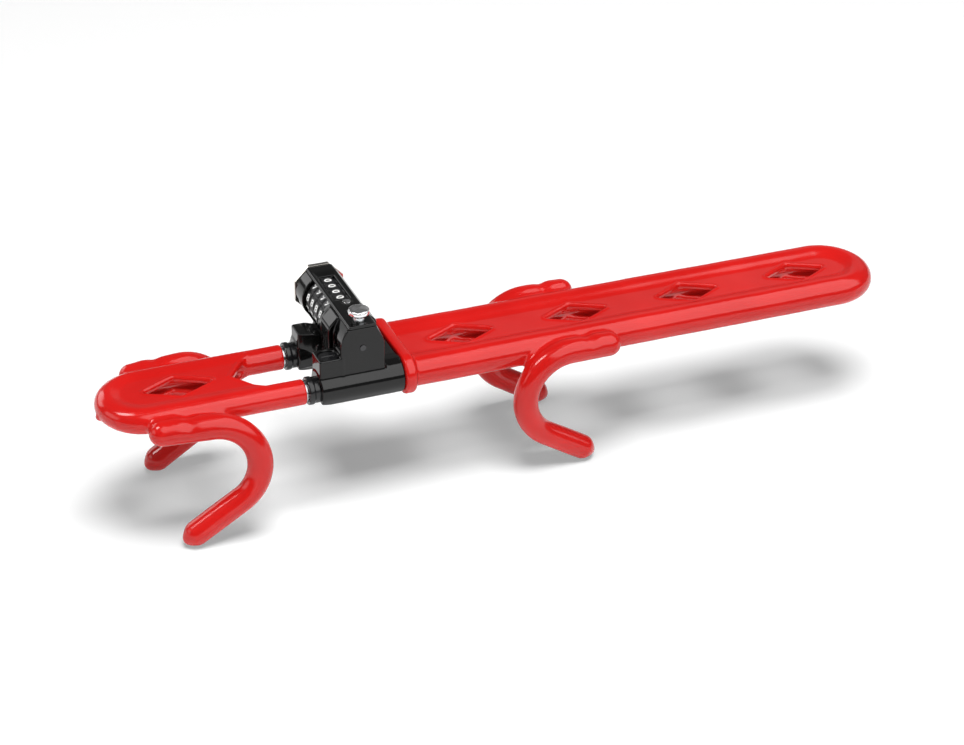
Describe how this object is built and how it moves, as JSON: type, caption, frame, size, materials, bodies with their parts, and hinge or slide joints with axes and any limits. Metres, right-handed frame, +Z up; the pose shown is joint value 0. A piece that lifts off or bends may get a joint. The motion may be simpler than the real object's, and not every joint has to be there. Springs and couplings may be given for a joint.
{
  "type": "steering wheel lock",
  "caption": "Twin-bar steering wheel lock: sliding hooked bar, hooked handle, combination lock head with push button, red vinyl dip coat.",
  "frame": {"origin": "middle of the footprint, on the surface the four hook tips stand on", "axes": "+X along the bars from the sliding bar to the handle, +Y away from the button side, +Z up"},
  "size_m": [0.5068, 0.1081, 0.1238],
  "materials": {
    "black_zinc": "gloss black paint on cast zinc",
    "chrome": "polished chrome",
    "nylon": "satin black nylon",
    "black_plastic": "gloss black moulded plastic",
    "steel": "bare drawn steel",
    "spring_steel": "spring steel",
    "zinc_plated": "zinc plated steel",
    "red_vinyl": "gloss red dipped vinyl",
    "dial_black": "gloss black with white figures",
    "brass": "turned brass"
  },
  "bodies": {
    "lock_and_handle": {"lock_housing": "black_zinc", "top_cover": "black_zinc", "end_cap": "chrome", "rod_bush_near": "nylon", "rod_bush_far": "nylon", "bore_plug": "black_plastic", "click_ball": "steel", "click_spring": "spring_steel", "stem_pin": "zinc_plated", "cover_rivets": "steel", "spindle_bush": "zinc_plated", "dial_leaf_spring": "spring_steel", "handle_tube": "steel", "handle_web_top": "steel", "handle_web_bottom": "steel", "handle_hook_near": "steel", "handle_hook_far": "steel", "handle_coat": "red_vinyl", "handle_hook_coat_near": "red_vinyl", "handle_hook_coat_far": "red_vinyl", "mouth_ring": "red_vinyl"},
    "sliding_bar": {"u_bar": "steel", "bar_web_top": "steel", "bar_web_bottom": "steel", "bar_hook_near": "steel", "bar_hook_far": "steel", "bar_coat": "red_vinyl", "bar_hook_coat_near": "red_vinyl", "bar_hook_coat_far": "red_vinyl", "stop_ring_near": "nylon", "stop_ring_far": "nylon"},
    "button": {"button_cap": "chrome", "lock_bolt": "zinc_plated", "bolt_clip": "spring_steel", "button_spring": "spring_steel"},
    "spindle_set": {"spindle": "zinc_plated", "spindle_nut": "zinc_plated", "spindle_spring": "spring_steel"},
    "reset": {"reset_pin": "chrome", "reset_spring": "spring_steel"},
    "dial_set_1": {"dial_1": "dial_black", "code_ring_1": "brass"},
    "dial_set_2": {"dial_2": "dial_black", "code_ring_2": "brass"},
    "dial_set_3": {"dial_3": "dial_black", "code_ring_3": "brass"},
    "dial_set_4": {"dial_4": "dial_black", "code_ring_4": "brass"}
  },
  "joints": [
    {"name": "bar_slide", "type": "slide", "parent": "lock_and_handle", "child": "sliding_bar", "axis": [-1, 0, 0], "range_m": [0, 0.2]},
    {"name": "button_press", "type": "slide", "parent": "lock_and_handle", "child": "button", "axis": [0, 0, -1], "range_m": [0, 0.003], "stiffness_N_per_m": 1500, "deforming": ["button_spring"]},
    {"name": "spindle_shift", "type": "slide", "parent": "lock_and_handle", "child": "spindle_set", "axis": [0, -1, 0], "range_m": [0, 0.0015], "deforming": ["spindle_spring"]},
    {"name": "reset_press", "type": "slide", "parent": "lock_and_handle", "child": "reset", "axis": [0, 0, -1], "range_m": [0, 0.001], "stiffness_N_per_m": 800, "deforming": ["reset_spring"]},
    {"name": "dial_1_turn", "type": "hinge", "parent": "lock_and_handle", "child": "dial_set_1", "pos_m": [-0.0997, 0.0123, 0.1008], "axis": [0, 1, 0], "continuous": true},
    {"name": "dial_2_turn", "type": "hinge", "parent": "lock_and_handle", "child": "dial_set_2", "pos_m": [-0.0997, 0.0199, 0.1008], "axis": [0, 1, 0], "continuous": true},
    {"name": "dial_3_turn", "type": "hinge", "parent": "lock_and_handle", "child": "dial_set_3", "pos_m": [-0.0997, 0.0275, 0.1008], "axis": [0, 1, 0], "continuous": true},
    {"name": "dial_4_turn", "type": "hinge", "parent": "lock_and_handle", "child": "dial_set_4", "pos_m": [-0.0997, 0.0351, 0.1008], "axis": [0, 1, 0], "continuous": true}
  ],
  "couplings": [
    {"joint": "spindle_shift", "follows": "button_press", "ratio": 0.5}
  ]
}
